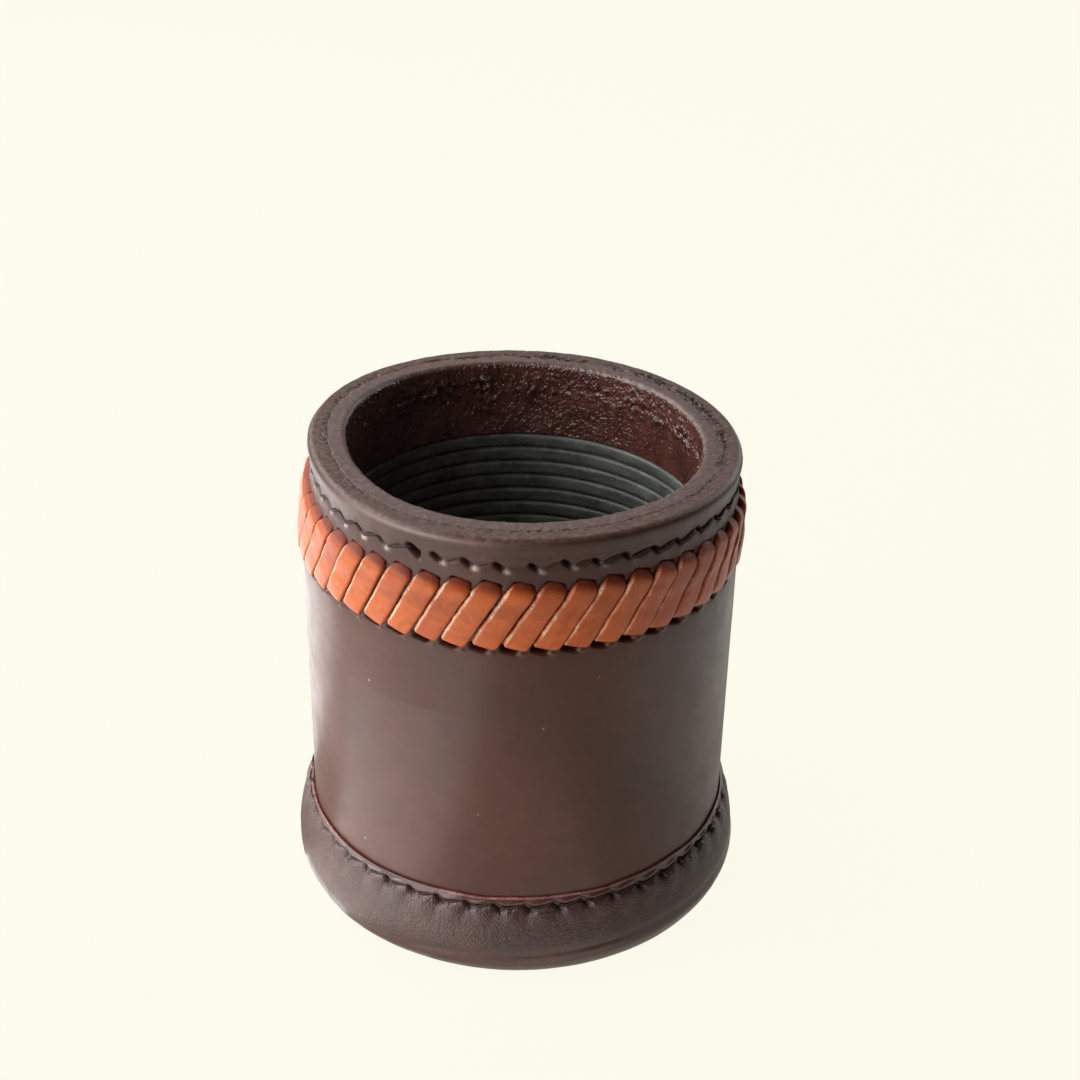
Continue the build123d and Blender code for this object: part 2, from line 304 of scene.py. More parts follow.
# --- Materials ---
class Recipe:
    """One procedural material, built from nodes, with its colours laid over each other. Sizes are in mm."""

    def __init__(self, name, specular, coat=0.0, sheen=0.0):
        self.material = bpy.data.materials.new(name)
        self.material.use_nodes = True
        self.tree = self.material.node_tree
        self.sockets = self.tree.nodes["Principled BSDF"].inputs
        self.sockets["Specular IOR Level"].default_value = specular
        self.sockets["Coat Weight"].default_value = coat
        self.sockets["Coat Roughness"].default_value = 0.22
        self.sockets["Sheen Weight"].default_value = sheen
        self.place = self.add("ShaderNodeTexCoord").outputs["Object"]

    def add(self, kind, **settings):
        node = self.tree.nodes.new(kind)
        for name, value in settings.items():
            setattr(node, name, value)
        return node

    def feed(self, socket, value):
        """Links a socket to another one, or sets it to a number or colour."""
        if isinstance(value, bpy.types.NodeSocket):
            self.tree.links.new(value, socket)
        else:
            socket.default_value = (*value, 1) if isinstance(value, tuple) else value

    def texture(self, kind, size, stretch, **settings):
        """A texture with features of this size, divided along each axis by its stretch."""
        node, place = self.add(kind, **settings), self.place
        if stretch:
            mapping = self.add("ShaderNodeMapping")
            mapping.inputs["Scale"].default_value = stretch
            self.feed(mapping.inputs["Vector"], place)
            place = mapping.outputs["Vector"]
        self.feed(node.inputs["Vector"], place)
        node.inputs["Scale"].default_value = 1 / (size * MM)
        return node

    def noise(self, size, detail=3, stretch=None, distortion=0.0):
        node = self.texture("ShaderNodeTexNoise", size, stretch)
        node.inputs["Detail"].default_value = detail
        node.inputs["Distortion"].default_value = distortion
        return node.outputs["Fac"]

    def cells(self, size, feature="DISTANCE_TO_EDGE", stretch=None):
        return self.texture("ShaderNodeTexVoronoi", size, stretch, feature=feature).outputs["Distance"]

    def mark(self, name):
        return self.add("ShaderNodeAttribute", attribute_name=name).outputs["Fac"]

    def math(self, operation, a, b, clamp=False):
        node = self.add("ShaderNodeMath", operation=operation, use_clamp=clamp)
        self.feed(node.inputs[0], a)
        self.feed(node.inputs[1], b)
        return node.outputs[0]

    def times(self, a, b):
        return self.math("MULTIPLY", a, b)

    def plus(self, a, b):
        return self.math("ADD", a, b)

    def spread(self, value, low, high, to_low=0, to_high=1):
        """Maps low..high onto to_low..to_high, and holds the ends."""
        node = self.add("ShaderNodeMapRange", clamp=True)
        for socket, number in zip(node.inputs[:5], (value, low, high, to_low, to_high)):
            self.feed(socket, number)
        return node.outputs[0]

    def varied(self, size, detail, low, high):
        """Goes from low to high over patches of this size."""
        return self.spread(self.noise(size, detail), 0.3, 0.7, low, high)

    def blend(self, factor, first, second):
        node = self.add("ShaderNodeMix", data_type="RGBA")
        for socket, value in zip((0, 6, 7), (factor, first, second)):
            self.feed(node.inputs[socket], value)
        return node.outputs[2]

    def over(self, factor, colour):
        """Lays a colour over the ones below it, by this factor."""
        self.colour = self.blend(factor, self.colour, colour)

    def patches(self, size, detail, first, second, **shape):
        """Two colours in patches of this size."""
        return self.blend(self.spread(self.noise(size, detail, **shape), 0.35, 0.65), first, second)

    def bumps(self, *layers):
        """A normal with bumps of these heights and depths, one on the other."""
        normal = None
        for height, depth in layers:
            node = self.add("ShaderNodeBump")
            node.inputs["Distance"].default_value = depth * MM
            self.feed(node.inputs["Height"], height)
            if normal:
                self.feed(node.inputs["Normal"], normal)
            normal = node.outputs["Normal"]
        return normal

    def done(self, normal, roughness):
        for socket, value in (("Base Color", self.colour), ("Normal", normal), ("Roughness", roughness)):
            self.feed(self.sockets[socket], value)
        return self.material


def body_leather():
    """Smooth, hard-polished hide with hardly any grain."""
    r = Recipe("body_leather", specular=0.38, coat=0.12)
    r.colour = r.patches(26, 2, (0.066, 0.021, 0.012), (0.092, 0.027, 0.014))
    r.over(r.spread(r.noise(3, 4), 0.4, 0.75, 0, 0.35), (0.046, 0.016, 0.010))
    # Painted shade: near-black in the lace slots, and a dark line along the back seam.
    r.over(r.mark("pit_shade"), (0.006, 0.003, 0.003))
    specks = r.math("LESS_THAN", r.cells(9.0, "F1"), 0.028)
    r.over(r.times(specks, 0.6), (0.45, 0.27, 0.22))
    pores = r.spread(r.cells(0.55), 0, 0.12)
    return r.done(r.bumps((pores, 0.006), (r.noise(7, 2), 0.05)), r.varied(5.0, 4, 0.32, 0.42))


def rim_finish(r):
    """Burnished brown on the cut rim, with dark grains along the glue line. Gives back the grains."""
    scuff = r.spread(r.noise(1.1, 5), 0.42, 0.62)
    r.over(r.mark("rim"), r.blend(scuff, (0.070, 0.034, 0.026), (0.122, 0.064, 0.049)))
    joint = r.mark("joint")
    crowding = r.spread(joint, 0.1, 0.8, -0.16, 0.1)
    grains = r.spread(r.plus(r.noise(0.8, distortion=0.8), crowding), 0.5, 0.56)
    grains = r.times(grains, r.spread(joint, 0.03, 0.15))
    r.over(grains, (0.007, 0.005, 0.004))
    return grains


def collar_leather():
    """Matte, slightly waxed hide, greyer and rougher where the rim's edge was cut and burnished."""
    r = Recipe("collar_leather", specular=0.45)
    r.colour = r.patches(14, 3, (0.053, 0.020, 0.014), (0.074, 0.026, 0.017))
    grains = rim_finish(r)
    # Painted highlight over leather worn paler: on the knob beside each stitch slit, and in a line along the
    # front left of the top edge.
    r.over(r.math("MULTIPLY", r.mark("rubbed_and_glint"), 1.5, clamp=True), (0.40, 0.28, 0.24))
    # Painted shade: near-black in the stitch slits and lace slots, and a dark line along the back seam.
    r.over(r.mark("pit_shade"), (0.005, 0.003, 0.003))
    on_rim = r.times(r.noise(0.4), r.mark("rim"))
    normal = r.bumps((r.spread(r.cells(0.7), 0, 0.2), 0.014), (r.noise(1.6, 4), 0.05), (on_rim, 0.1))
    return r.done(normal, r.plus(r.varied(2.5, 3, 0.36, 0.46), r.times(grains, 0.4)))


def lining_leather():
    """Waxy reddish hide, pulled into fine creases that glint."""
    r = Recipe("lining_leather", specular=0.8)
    r.colour = r.patches(6, 4, (0.058, 0.019, 0.013), (0.104, 0.033, 0.023))
    grains = rim_finish(r)
    # Painted shade: near-black in the inner stitch slits.
    r.over(r.mark("pit_shade"), (0.006, 0.003, 0.003))
    rim = r.mark("rim")
    side = r.spread(rim, 0, 1, 1, 0.12)
    grain = r.times(r.spread(r.cells(0.7, stretch=(1, 1, 0.7)), 0, 0.25), side)
    puckers = r.times(r.noise(1.0, distortion=0.6), side)
    normal = r.bumps((grain, 0.09), (puckers, 0.2), (r.times(r.noise(0.4), rim), 0.1))
    rough = r.plus(r.varied(1.5, 4, 0.11, 0.28), r.times(rim, 0.34))
    return r.done(normal, r.plus(rough, r.times(grains, 0.4)))


def foot_leather():
    """Soft glove-like hide: fine grain on the side, smooth where it is stretched under the foot."""
    r = Recipe("foot_leather", specular=0.7)
    r.colour = r.blend(r.varied(9, 4, 0, 1), (0.062, 0.023, 0.017), (0.094, 0.033, 0.024))
    grain = r.spread(r.cells(0.6, stretch=(1, 1, 0.75)), 0.02, 0.3)
    soft = r.mark("grain")
    hollows = r.times(r.math("SUBTRACT", 1.0, grain), soft)
    r.over(r.times(hollows, 0.5), (0.026, 0.011, 0.009))
    # Painted shade: near-black in the stitch slits; the same mark also darkens the top edge where it is
    # tucked in at the front left.
    r.over(r.mark("pit_shade"), (0.005, 0.003, 0.003))
    r.over(r.mark("raw"), r.patches(0.9, 3, (0.24, 0.075, 0.085), (0.46, 0.19, 0.20)))
    normal = r.bumps((r.times(grain, r.spread(soft, 0, 1, 0.15, 1)), 0.06), (r.noise(2.2), 0.07))
    return r.done(normal, r.plus(r.varied(1.8, 3, 0.22, 0.3), r.times(soft, 0.18)))


def sole_leather():
    """Plain hide rubbed by standing on desks."""
    r = Recipe("sole_leather", specular=0.35)
    r.colour = r.patches(12, 5, (0.036, 0.018, 0.014), (0.056, 0.027, 0.021))
    scratches = r.spread(r.noise(1.2, stretch=(1, 0.12, 1)), 0.6, 0.75)
    r.over(r.times(scratches, 0.5), (0.11, 0.075, 0.062))
    r.over(r.mark("worn"), (0.12, 0.082, 0.066))
    normal = r.bumps((r.spread(r.cells(0.8), 0, 0.25), 0.03), (r.noise(3.0, 4), 0.08))
    return r.done(normal, r.varied(4, 3, 0.5, 0.7))


def lace_leather():
    """Tan hide with pale, fibrous cut edges. Each strip differs a little in colour, and painted shade darkens
    the strips on the right side of the cup and the ends where they dive into the slots.
    """
    r = Recipe("lace_leather", specular=0.36)
    # Each strip's own colour, plus painted shade: strips on the right side of the cup are darker, and so are
    # the hollows of a strip's waves and its crease.
    r.colour = r.blend(r.mark("tone_and_shade"), (0.43, 0.072, 0.011), (0.60, 0.130, 0.022))
    streak = r.spread(r.noise(1.6, 5, distortion=0.4), 0.45, 0.7)
    r.over(r.times(streak, 0.45), (0.30, 0.045, 0.008))
    pores = r.spread(r.cells(0.45), 0, 0.2)
    r.over(r.spread(pores, 0, 1, 0.18, 0), (0.24, 0.035, 0.008))
    fibre = r.spread(r.noise(0.35, 4), 0.38, 0.6)
    r.over(r.mark("cut"), r.blend(fibre, (0.46, 0.24, 0.13), (0.80, 0.60, 0.42)))
    # Painted shade: darker orange where a strip dives into its slots.
    dip_shade = r.mark("pit_shade")
    r.over(dip_shade, (0.19, 0.028, 0.007))
    rough = r.math("SUBTRACT", r.varied(1.5, 3, 0.29, 0.42), r.times(r.mark("shiny"), 0.24))
    normal = r.bumps((pores, 0.012), (r.noise(1.3), 0.1))
    return r.done(normal, r.plus(rough, r.times(dip_shade, 0.25)))


def thread_cord():
    """Dark waxed thread."""
    r = Recipe("thread", specular=0.25)
    r.colour = r.patches(0.25, 3, (0.012, 0.007, 0.006), (0.045, 0.024, 0.020), stretch=(1, 1, 0.5))
    return r.done(r.bumps((r.noise(0.2, 2), 0.04)), 0.5)


def ribbed_rubber():
    """Black rubber with chalky handling marks on the crests."""
    r = Recipe("ribbed_rubber", specular=0.5)
    smear = r.spread(r.noise(7, 5, stretch=(1, 1, 2.5)), 0.4, 0.75)
    r.colour = r.blend(smear, (0.052, 0.055, 0.053), (0.130, 0.136, 0.127))
    dust = r.spread(r.noise(0.8, 6, stretch=(1, 1, 3.0)), 0.6, 0.7)
    r.over(r.times(dust, r.mark("crest")), (0.20, 0.21, 0.19))
    normal = r.bumps((r.noise(0.5, 4), 0.03), (r.noise(4.0, stretch=(1, 1, 2.0)), 0.12))
    return r.done(normal, r.varied(2.0, 4, 0.4, 0.6))


def fibre_board():
    r = Recipe("fibre_board", specular=0.2)
    r.colour = r.patches(0.6, 5, (0.20, 0.13, 0.075), (0.36, 0.26, 0.16), stretch=(1, 1, 4))
    return r.done(r.bumps((r.noise(0.4, 4), 0.05)), 0.85)


def felt():
    r = Recipe("packing_felt", specular=0.1, sheen=0.4)
    r.colour = r.patches(0.8, 6, (0.16, 0.14, 0.12), (0.32, 0.29, 0.25), distortion=1.0)
    return r.done(r.bumps((r.noise(0.5, 5), 0.3)), 0.95)


# --- Stitched rows ---
class Row:
    """A row of slanting awl slits, with a thread from each slit to the next."""

    def __init__(self, radius, height, phase, depth, seed, slant=36.0, slit=(1.05, 0.36), wander=0.28):
        rng = np.random.default_rng(seed)
        self.height, self.phase, self.pitch = height, phase, 360 / STITCH_COUNT
        self.step = radians(self.pitch) * radius
        self.slant = radians(slant)
        self.slit_length, self.slit_width = slit
        self.shift = rng.uniform(-wander, wander, STITCH_COUNT)
        self.rise = rng.uniform(-0.8 * wander, 0.8 * wander, STITCH_COUNT)
        self.depth = depth * rng.uniform(0.75, 1.15, STITCH_COUNT)
        self.fan = rng.uniform(0, FULL_TURN, STITCH_COUNT)
        self.threaded = np.ones(STITCH_COUNT)
        self.size = rng.uniform(0.85, 1.15, STITCH_COUNT)
        # How strong the painted highlight and the paler wear are on each stitch's knob.
        self.rubbed_and_glint = rng.uniform(0.4, 1.0, STITCH_COUNT)

    def nearest(self, turn, height):
        """The nearest slit to each point, and the point's place beside it in millimetres."""
        count = (np.degrees(turn) - self.phase) / self.pitch
        slit = np.floor(count + 0.5)
        index = slit.astype(int) % STITCH_COUNT
        across = (count - slit) * self.step - self.shift[index]
        return index, across, height - self.height - self.rise[index]

    def thread_height(self, turn):
        """Share of the way from one slit to the next, the slit behind it, and the thread's height there."""
        count = (np.degrees(turn) - self.phase) / self.pitch
        behind = np.floor(count).astype(int) % STITCH_COUNT
        ahead = (behind + 1) % STITCH_COUNT
        share = count - np.floor(count)
        start, end = self.rise[behind] - 0.55, self.rise[ahead] + 0.5
        return share, behind, self.height + start + (end - start) * share * share * (3 - 2 * share)

    def relief(self, turn, height, groove, lip=0.32, pull=0.25, puff=0.09):
        """How far the leather moves, how deep each point lies in a slit (used for painted shade), and the
        knob beside each slit, worn paler and given a painted highlight.
        """
        index, across, above = self.nearest(turn, height)
        size = self.size[index]
        along_slit = across * cos(self.slant) - above * sin(self.slant)
        off_slit = across * sin(self.slant) + above * cos(self.slant)
        slit = np.exp(-((along_slit / (self.slit_length * size)) ** 4))
        slit = slit * hump(off_slit, self.slit_width * size)
        knob = hump(across - 1.75, 0.62) * hump(above + 0.95, 0.42)
        lump = lip * (knob + 0.5 * hump(across + 0.9, 0.6) * hump(above - 1.1, 0.5))
        share, behind, thread = self.thread_height(turn)
        taut = smooth(0.1, 0.25, share) * smooth(0.9, 0.75, share) * self.threaded[behind]
        trough = hump(height - thread, 0.42) * taut
        beside = hump(height - thread - 1.2, 0.6) + hump(height - thread + 1.2, 0.6)
        plump = np.sin(pi * share) ** 2 * beside
        near = hump(above, 1.7)
        lift = lump + puff * plump - self.depth[index] * slit - groove * trough - pull * near
        return lift, held(slit * 1.1), knob * self.rubbed_and_glint[index]

    def threads(self, name, surface, material):
        """One twisted thread from each slit to the next. surface gives the radius that they lie at."""
        end = self.step
        knots = [(0.35, -0.3, -1.5), (0.75, -0.5, -0.75), (1.25, -0.62, -0.12), (1.9, -0.5, 0.1)]
        knots += [(end / 2, 0.0, 0.16), (end - 1.8, 0.45, 0.1), (end - 1.15, 0.55, -0.15)]
        knots += [(end - 0.7, 0.45, -0.8), (end - 0.35, 0.3, -1.6)]
        route, cords = curve_through(knots, 26), []
        share = route[:, 0] / self.step
        for k in np.flatnonzero(self.threaded):
            ahead = (k + 1) % STITCH_COUNT
            across = route[:, 0] + self.shift[k] * (1 - share) + self.shift[ahead] * share
            height = self.height + route[:, 1] + self.rise[k] * (1 - share) + self.rise[ahead] * share
            turn = np.radians(self.phase + (k + across / self.step) * self.pitch)
            radius = surface(turn, height) + route[:, 2]
            cords.append(cord_points(np.stack([turn, radius, height], -1)))
        return tubes_piece(name, cords, {}, material)


rim_row = Row(collar_radius, RIM_STITCH_HEIGHT, RIM_STITCH_PHASE, depth=1.3, seed=11)
# The big slit at the front left, where the thread starts, has no stitch over it.
START_SLIT = STITCH_COUNT - 3
rim_row.threaded[START_SLIT] = 0
rim_row.shift[START_SLIT] = 1.9
rim_row.size[START_SLIT] = 1.75
rim_row.depth[START_SLIT] = 2.0
inner_row = Row(RIM_BORE, RIM_STITCH_HEIGHT, RIM_STITCH_PHASE, depth=0.8, seed=12, slant=-36.0, wander=0.6)
hem_radius = wall_radius + COVER_THICKNESS
foot_row = Row(hem_radius, FOOT_STITCH_HEIGHT, FOOT_STITCH_PHASE, 1.3, seed=13, slant=42.0, slit=FOOT_SLIT)


def rim_thread_radius(turn, height):
    """The rim's stitches were pulled tightest a little left of the front."""
    return collar_radius - 0.34 - 0.4 * hump(turn_from(turn, -4), radians(22))


def seam(turn, where, width=0.22):
    """A butt joint that runs up the leather."""
    return hump(turn_from(turn, where) * wall_radius, width)


def beside_slot(turn, height, level, lean):
    """A point's place beside the nearest slot of a row of lace slots, in millimetres."""
    pitch = 360 / LACE_COUNT
    count = (np.degrees(turn) - LACE_PHASE - lean) / pitch
    return (count - np.floor(count + 0.5)) * radians(pitch) * wall_radius, height - level


def oval_hole(across, above, width, rise):
    """1 inside an oval hole, with a quick fall at its edge."""
    return np.exp(-((across / width) ** 4) - (above / rise) ** 4)


# --- Body leather ---
def body_relief(turn, radius, height, out, up):
    outside = (out > 0.5) & (radius > wall_radius - 0.5)
    across, above = beside_slot(turn, height, LACE_LOW, -LACE_SWEEP / 2)
    slots = oval_hole(across + 0.9, above + 1.0 + LACE_SKEW * across, 1.45, 0.75)
    burr = 0.3 * hump(across - 1.7, 0.6) * hump(above + 1.75, 0.35)
    dents = 0.05 * layered(turn, height, 22, 21) + 0.03 * layered(turn, height, 7, 22, 2, 1.6)
    lift = dents - 2.4 * slots - 0.22 * seam(turn, 180)
    pulled = 0.15 * hump(height - LACE_LOW + 1.6, 1.2)
    # Painted shade in the lace slots, and a dark line along the back seam.
    pit_shade = held(slots + 0.7 * seam(turn, 180, 0.16))
    return np.where(outside, lift + burr - pulled, 0), {"pit_shade": np.where(outside, pit_shade, 0)}


def build_body():
    plain = (wall_radius, 20, 4), (wall_radius, 77.5, 1.5)
    at_slots = (wall_radius, 82.5, 0.25), (wall_radius, wall_top, 1.1)
    inside = (layer_radius, wall_top, 1.1), (layer_radius, wall_bottom, 8), (wall_radius, wall_bottom, 1.2)
    outline = lines((wall_radius, wall_bottom), *plain, *at_slots, *inside)
    return ring("body_leather", outline, LACE_COUNT * 18, body_relief, body_leather())


# --- Rim: collar outside and lining inside ---
def crack(turn):
    """The wandering glue line between the two leathers of the rim."""
    return 0.22 * noise_round(turn, 5, 31) + 0.12 * noise_round(turn, 1.4, 32)


def joint_grain(turn, radius, up):
    """How grainy and dark the rim is along the glue line: most at the back, and widest at the right."""
    back = smooth(0.9, -0.3, np.cos(turn_from(turn, 5)))
    right = smooth(-0.6, 0.4, np.sin(turn))
    patchy = smooth(-0.6, 0.4, noise_round(turn, 4.0, 36))
    across = radius - layer_radius - 0.3 + 0.4 * noise_round(turn, 3.0, 37)
    strength = (0.3 + (0.25 + 0.45 * right) * back) * (0.55 + 0.45 * patchy)
    return held(up) * held(hump(across, 0.6 + 0.65 * right) * strength)


def cut_rim(turn, radius, up):
    """The cut rim, fibrous and broken up along the glue line: how far it moves, and its marks."""
    fibres = 0.06 * layered(turn, radius, 2.4, 33, 3) + 0.05 * creases(turn, radius, 1.6, 34)
    grain = joint_grain(turn, radius, up)
    holes = smooth(-0.1, 0.4, noise(turn, radius, 1.0, 35)) * grain
    burnished = held(up) * smooth(0.2, 0.7, up)
    return fibres * held(up) - 0.5 * holes, {"rim": burnished, "joint": grain}


def collar_relief(turn, radius, height, out, up):
    outside = held(out) * (radius > collar_radius - RIM_ROUND - 0.1)
    groove = 0.12 + 0.3 * smooth(0.0, 0.7, np.sin(turn - radians(4)))
    lift, pit_shade, rubbed_and_glint = rim_row.relief(turn, height, groove)
    # The knobs' painted highlight is strongest towards the left, where the light comes from, and most around
    # 42 degrees left of the front.
    glints_at_left = 0.2 + 0.8 * smooth(0.5, -0.1, np.sin(turn)) + 0.7 * hump(turn_from(turn, -42), radians(12))
    across, above = beside_slot(turn, height, LACE_HIGH, LACE_SWEEP / 2)
    slots = oval_hole(across - 0.1, above + LACE_SKEW * across, 1.45, 0.42)
    bead = hump(turn_from(turn, -24), radians(20)) * hump(height - rim_top + 0.9, 0.28)
    lip = 0.35 * hump(height - rim_top + 1.4, 1.5) + 0.26 * bead
    dents = 0.09 * layered(turn, height, 11, 24) + 0.04 * layered(turn, height, 3, 25)
    side = lift + lip + dents - 2.3 * slots - 0.22 * seam(turn, 180) - pared(turn, height)
    top, marks = cut_rim(turn, radius, up)
    # Painted shade in the stitch slits and lace slots, and a dark line along the back seam. The knobs and the
    # bead along the top edge's front left get a painted highlight.
    marks["pit_shade"] = held(pit_shade + slots + 0.7 * seam(turn, 180, 0.16)) * outside
    marks["rubbed_and_glint"] = (rubbed_and_glint * glints_at_left + 0.3 * bead) * outside
    return side * outside + top, marks


def glue_drift(turn, radius, height):
    """Moves the two edges along the glue line sideways together."""
    return crack(turn) * hump(radius - layer_radius, 0.9) * smooth(rim_top - 4, rim_top - 1, height), 0


def build_collar():
    inner, edge = layer_radius + LAYER_GAP, RIM_EDGE
    side = ((collar_radius, 91, 0.8), (collar_radius, 98.4, 0.23), (collar_radius, rim_top - RIM_ROUND, 0.4))
    outline = lines((inner, collar_bottom), (collar_radius, collar_bottom, 1.2), *side)
    outline += arc((collar_radius - RIM_ROUND, rim_top - RIM_ROUND), RIM_ROUND, 0, 90, 9)
    outline += line((collar_radius - RIM_ROUND, rim_top), (inner + edge, rim_top), 0.22)
    outline += arc((inner + edge, rim_top - edge), edge, 90, 180, 4)
    outline += line((inner, rim_top - edge), (inner, collar_bottom), 2.2)
    return ring("collar_leather", outline, STITCH_COUNT * 20, collar_relief, collar_leather(), glue_drift)


def lining_relief(turn, radius, height, out, up):
    inside = held(-out) * (radius < RIM_BORE + RIM_ROUND + 0.1)
    lift, pit_shade, _ = inner_row.relief(turn, height, groove=0.25, lip=0.45, pull=-0.2)
    patchy = smooth(-0.35, 0.5, noise(turn, height, 7, 47))
    lift, pit_shade = lift * (0.25 + 0.75 * patchy), pit_shade * patchy
    sag = height + 6 * np.degrees(turn) / 360
    near = hump(height - RIM_STITCH_HEIGHT + 0.8 * noise_round(turn, 9, 48), 3.2)
    twist = turn + 0.03 * noise(turn, height, 4, 49)
    wrinkles = 0.8 * creases(twist, height, 2.4, 41, 1.3) * near * (0.35 + 0.65 * patchy)
    wrinkles = wrinkles + 0.3 * creases(twist - height * 0.02, height, 1.6, 43, 2.4) * (0.45 + near)
    upright = creases(twist, height, 2.4, 53, 5) * hump(turn_from(turn, -165), 0.45) * smooth(97, 92, height)
    wrinkles = wrinkles + 0.3 * upright
    calm = 0.3 + 0.7 * smooth(-1.0, -0.6, np.cos(turn_from(turn, 75)))
    lift, wrinkles = lift * calm, wrinkles * calm
    folds = 0.16 * layered(turn, sag, 5, 45) + 0.09 * layered(turn, height, 1.2, 46)
    side = lift + wrinkles + folds - 0.2 * seam(turn, 4)
    top, marks = cut_rim(turn, radius, up)
    # Painted shade in the inner stitch slits.
    marks["pit_shade"] = 0.8 * pit_shade * inside
    return side * inside + top, marks


def build_lining():
    bore_edge, edge = RIM_BORE + RIM_ROUND, RIM_EDGE
    back = (layer_radius, lining_bottom, 1.2), (layer_radius, rim_top - edge, 3)
    outline = lines((RIM_BORE, lining_bottom), *back)
    outline += arc((layer_radius - edge, rim_top - edge), edge, 0, 90, 4)
    outline += line((layer_radius - edge, rim_top), (bore_edge, rim_top), 0.22)
    outline += arc((bore_edge, rim_top - RIM_ROUND), RIM_ROUND, 90, 180, 8)
    outline += line((RIM_BORE, rim_top - RIM_ROUND), (RIM_BORE, lining_bottom), 0.27)
    return ring("lining_leather", outline, STITCH_COUNT * 20, lining_relief, lining_leather(), glue_drift)


# --- Rubber: ribbed tube and ribbed floor ---
def rib(share):
    """Height of a rib from its root, 0 to 1: a broad flat crest with narrow grooves beside it."""
    return 1 - (1 - 2 * min(share, 1 - share)) ** 6


def liner_relief(turn, radius, height, out, up):
    inside = radius < RIB_ROOT + 0.2
    wave = 0.10 * layered(turn, height, 30, 51) + 0.05 * layered(turn, height, 6, 52, 2, 0.5)
    crest = smooth(RIB_ROOT - 0.2, RIB_CREST, radius)
    return np.where(inside, wave - 0.3 * seam(turn, -6, 0.3), 0), {"crest": crest}


def build_liner():
    shares = (0.0, 0.03, 0.07, 0.12, 0.2, 0.34, 0.5, 0.66, 0.8, 0.88, 0.93, 0.97)
    count = round((liner_top - pad_top) / RIB_PITCH)
    back = ((layer_radius, liner_bottom, 2), (layer_radius, liner_top, 20), (RIB_ROOT, liner_top, 1.2))
    outline = lines((RIB_ROOT, liner_bottom), *back)
    for k in range(count):
        for share in shares:
            radius = RIB_ROOT - (RIB_ROOT - RIB_CREST) * rib(share)
            outline.append((radius, liner_top - (k + share) * RIB_PITCH))
    return ring("rubber_tube", outline, 360, liner_relief, ribbed_rubber())


def build_floor():
    """A disc with straight ribs, in the CAD's own rubber. Each line of points is a chord of the circle."""
    shares = (0.0, 0.05, 0.12, 0.3, 0.5, 0.7, 0.88, 0.95)
    count = 2 * int(pad_radius / RIB_PITCH)
    groove_depth = 0.8
    across, top = [], []
    for k in range(count):
        for share in shares:
            across.append((k + share - count / 2) * RIB_PITCH)
            top.append(pad_top - groove_depth * (1 - rib(share)))
    half_count = count / 2 * RIB_PITCH
    across = np.array(across + [half_count])[:, None] * (pad_radius - 0.05) / half_count
    top = np.array(top + [pad_top - groove_depth])[:, None]
    half = np.sqrt(np.maximum(pad_radius**2 - across**2, 0.6))
    x, y = np.broadcast_arrays(across, half * np.linspace(-1, 1, 25))
    ridge = top + 0.05 * np.sin(x * 0.7 + y * 0.31)
    underneath = np.stack([x, y, 0 * x + pad_bottom], -1)[:, ::-1]
    points = np.concatenate([np.stack([x, y, ridge], -1), underneath], 1) * MM
    rows, columns = points.shape[:2]
    faces = grid_faces(rows, columns, False)
    for start, order in ((0, 1), ((rows - 1) * columns, -1)):
        for j in range(columns // 2 - 1):
            opposite = columns - 1 - j
            faces.append([start + corner for corner in (j, j + 1, opposite - 1, opposite)][::order])
    return mesh_piece("rubber_floor", points, faces, {}, bpy.data.materials["ribbed_rubber"])


# --- Foot leather ---
swell_height = cover_bottom + FOOT_CORNER
cover_bore = wall_radius + LAYER_GAP
cover_radius = cover_bore + COVER_THICKNESS
swell_out = foot_radius - cover_radius
swell_rise = COVER_STRAIGHT_BOTTOM - swell_height
swell_arc = (swell_out**2 + swell_rise**2) / (2 * swell_out)


def foot_surface(height):
    """Radius of the foot's outside above its widest ring."""
    rise = np.clip(height - swell_height, 0, swell_rise)
    return foot_radius - swell_arc + np.sqrt(swell_arc**2 - rise**2)


def foot_thread_radius(turn, height):
    return foot_surface(height) - 0.65


def crease_height(turn):
    """The fold low on the foot wanders, and dips at the front left."""
    dip = 2.6 * hump(turn_from(turn, -42), 0.36)
    return 8.7 + 0.5 * np.sin(turn + 0.3) - dip + 0.35 * noise_round(turn, 14, 61)


